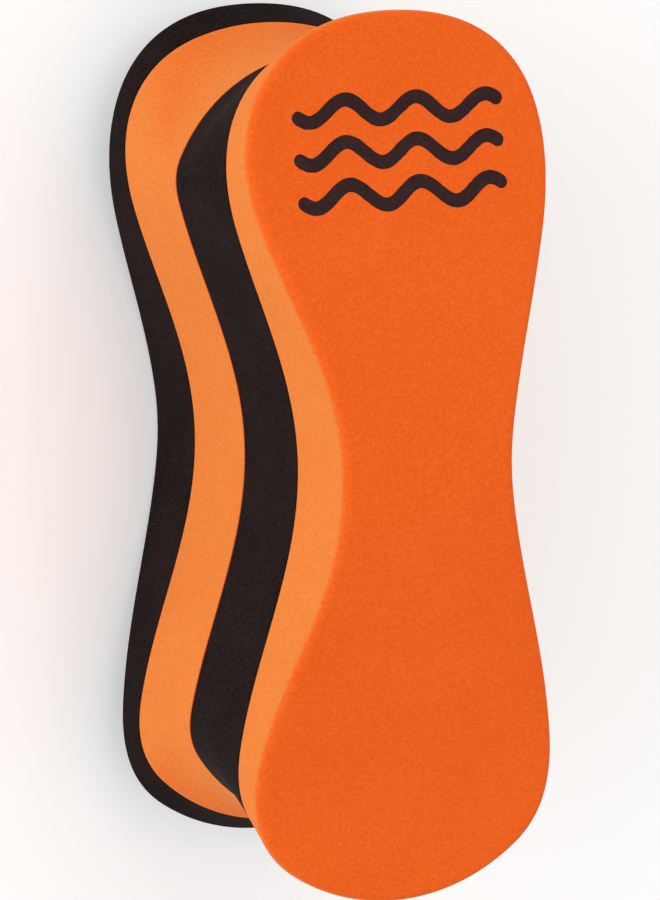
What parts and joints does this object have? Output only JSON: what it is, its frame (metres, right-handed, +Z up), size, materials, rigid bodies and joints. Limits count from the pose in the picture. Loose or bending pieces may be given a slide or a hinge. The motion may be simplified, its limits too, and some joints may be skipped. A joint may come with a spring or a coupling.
{
  "type": "pull buoy",
  "caption": "Hourglass-shaped leg float of bonded foam sheets, narrow in the middle to sit between a swimmer's thighs, with a plain wave print on one face",
  "frame": {"origin": "On the resting surface, under the centre of the float", "axes": "+X across the width, +Y along the length towards the printed end, +Z up through the thickness, out of the printed face"},
  "size_m": [0.0898, 0.24, 0.124],
  "materials": {
    "orange_foam": "matt closed-cell foam",
    "black_foam": "matt closed-cell foam",
    "adhesive_film": "thin dried adhesive",
    "print_ink": "matt screen-printed ink"
  },
  "bodies": {
    "root": {"front_sheet": "orange_foam", "front_core_sheet": "black_foam", "back_core_sheet": "orange_foam", "back_sheet": "black_foam", "front_bond": "adhesive_film", "middle_bond": "adhesive_film", "back_bond": "adhesive_film", "upper_printed_wave": "print_ink", "middle_printed_wave": "print_ink", "lower_printed_wave": "print_ink"}
  },
  "joints": []
}
